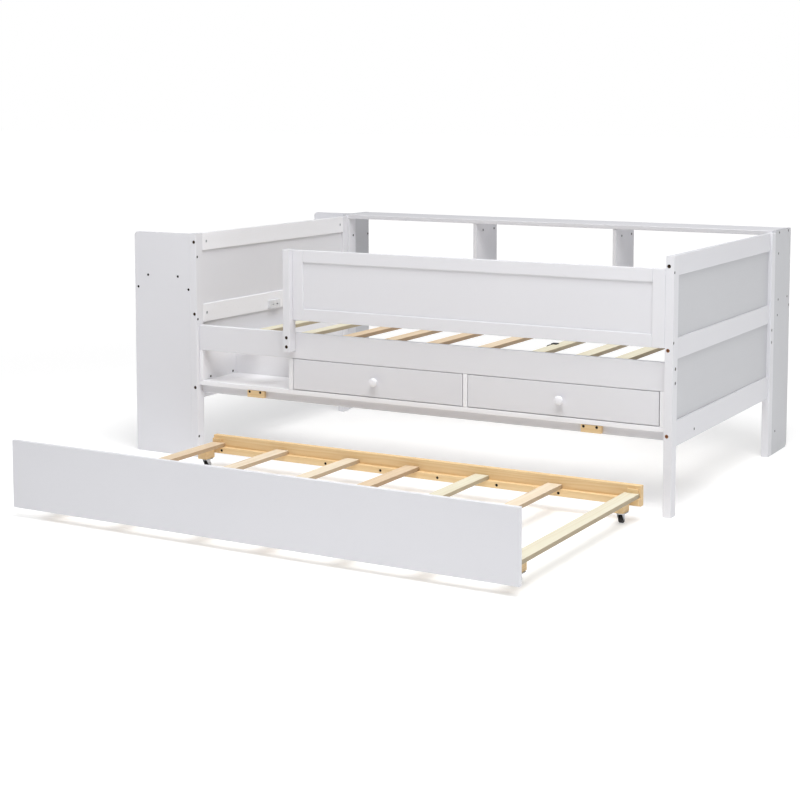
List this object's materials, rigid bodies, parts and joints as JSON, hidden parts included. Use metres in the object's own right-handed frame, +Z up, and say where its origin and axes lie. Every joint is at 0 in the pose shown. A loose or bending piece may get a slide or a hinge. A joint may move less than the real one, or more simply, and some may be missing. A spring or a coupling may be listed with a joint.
{
  "type": "trundle bed",
  "caption": "White wooden daybed with slatted base, guard, side and back shelves, cubby, drawers and a pull-out trundle on casters.",
  "frame": {"origin": "middle of the footprint on the floor, with the trundle pulled out", "axes": "+Z up; -Y is the front, the way the trundle and the drawers come out; +X is the end without the side shelf"},
  "size_m": [2.298, 2.454, 0.908],
  "materials": {
    "white_paint": "satin white paint on wood",
    "knob_paint": "satin white paint on turned wood",
    "pine": "bare sanded pine",
    "slat_wood": "bare pale softwood, a little different from slat to slat",
    "dark_steel": "dark bronzed steel",
    "zinc_steel": "bright zinc-plated steel",
    "white_plastic": "satin",
    "black_plastic": "satin"
  },
  "bodies": {
    "frame": {"post_front_right": "white_paint", "post_back_right": "white_paint", "post_front_left": "white_paint", "post_back_left": "white_paint", "right_top_rail": "white_paint", "right_middle_rail": "white_paint", "right_bottom_rail": "white_paint", "right_panels": "white_paint", "left_top_rail": "white_paint", "left_middle_rail": "white_paint", "left_bottom_rail": "white_paint", "left_panels": "white_paint", "front_rail": "white_paint", "back_rail": "white_paint", "slat_ledgers": "pine", "bed_slats": "slat_wood", "guard_post": "white_paint", "guard_frame": "white_paint", "guard_panel": "white_paint", "case_bottom": "white_paint", "case_partitions": "white_paint", "case_backs": "white_paint", "case_cleats": "white_paint", "drawer_runners": "pine", "lower_rail": "white_paint", "rail_blocks": "pine", "side_shelf_front_board": "white_paint", "side_shelf_rear_board": "white_paint", "side_shelf_board": "white_paint", "side_shelf_aprons": "white_paint", "back_shelf_ends": "white_paint", "back_shelf_top": "white_paint", "back_shelf_lower": "white_paint", "back_shelf_dividers": "white_paint", "back_shelf_apron": "white_paint", "back_shelf_battens": "white_paint", "frame_bolts": "dark_steel", "frame_screws": "dark_steel", "charging_socket": "white_plastic", "cable_hook": "black_plastic"},
    "right_drawer": {"right_drawer_front": "white_paint", "right_drawer_box": "white_paint", "right_drawer_knob": "knob_paint"},
    "left_drawer": {"left_drawer_front": "white_paint", "left_drawer_box": "white_paint", "left_drawer_knob": "knob_paint"},
    "trundle": {"trundle_front_board": "white_paint", "trundle_back_rail": "pine", "trundle_ledgers": "pine", "trundle_slats": "slat_wood", "trundle_blocks": "pine", "trundle_fittings": "zinc_steel"},
    "front_right_swivel": {"front_right_fork": "zinc_steel"},
    "front_right_roller": {"front_right_wheel": "black_plastic"},
    "front_left_swivel": {"front_left_fork": "zinc_steel"},
    "front_left_roller": {"front_left_wheel": "black_plastic"},
    "back_right_swivel": {"back_right_fork": "zinc_steel"},
    "back_right_roller": {"back_right_wheel": "black_plastic"},
    "back_left_swivel": {"back_left_fork": "zinc_steel"},
    "back_left_roller": {"back_left_wheel": "black_plastic"}
  },
  "joints": [
    {"name": "right_drawer_slide", "type": "slide", "parent": "frame", "child": "right_drawer", "axis": [0, -1, 0], "range_m": [0, 0.3]},
    {"name": "left_drawer_slide", "type": "slide", "parent": "frame", "child": "left_drawer", "axis": [0, -1, 0], "range_m": [0, 0.3]},
    {"name": "trundle_slide", "type": "slide", "parent": "frame", "child": "trundle", "axis": [0, 1, 0], "range_m": [0, 1.079]},
    {"name": "front_right_swivel_turn", "type": "hinge", "parent": "trundle", "child": "front_right_swivel", "pos_m": [1.024, -1.107, 0.03], "axis": [0, 0, 1], "continuous": true},
    {"name": "front_right_roll", "type": "hinge", "parent": "front_right_swivel", "child": "front_right_roller", "pos_m": [1.024, -1.098, 0.014], "axis": [1, 0, 0], "continuous": true},
    {"name": "front_left_swivel_turn", "type": "hinge", "parent": "trundle", "child": "front_left_swivel", "pos_m": [-0.697, -1.107, 0.03], "axis": [0, 0, 1], "continuous": true},
    {"name": "front_left_roll", "type": "hinge", "parent": "front_left_swivel", "child": "front_left_roller", "pos_m": [-0.697, -1.098, 0.014], "axis": [1, 0, 0], "continuous": true},
    {"name": "back_right_swivel_turn", "type": "hinge", "parent": "trundle", "child": "back_right_swivel", "pos_m": [1.024, -0.291, 0.03], "axis": [0, 0, 1], "continuous": true},
    {"name": "back_right_roll", "type": "hinge", "parent": "back_right_swivel", "child": "back_right_roller", "pos_m": [1.024, -0.282, 0.014], "axis": [1, 0, 0], "continuous": true},
    {"name": "back_left_swivel_turn", "type": "hinge", "parent": "trundle", "child": "back_left_swivel", "pos_m": [-0.697, -0.291, 0.03], "axis": [0, 0, 1], "continuous": true},
    {"name": "back_left_roll", "type": "hinge", "parent": "back_left_swivel", "child": "back_left_roller", "pos_m": [-0.697, -0.282, 0.014], "axis": [1, 0, 0], "continuous": true}
  ]
}
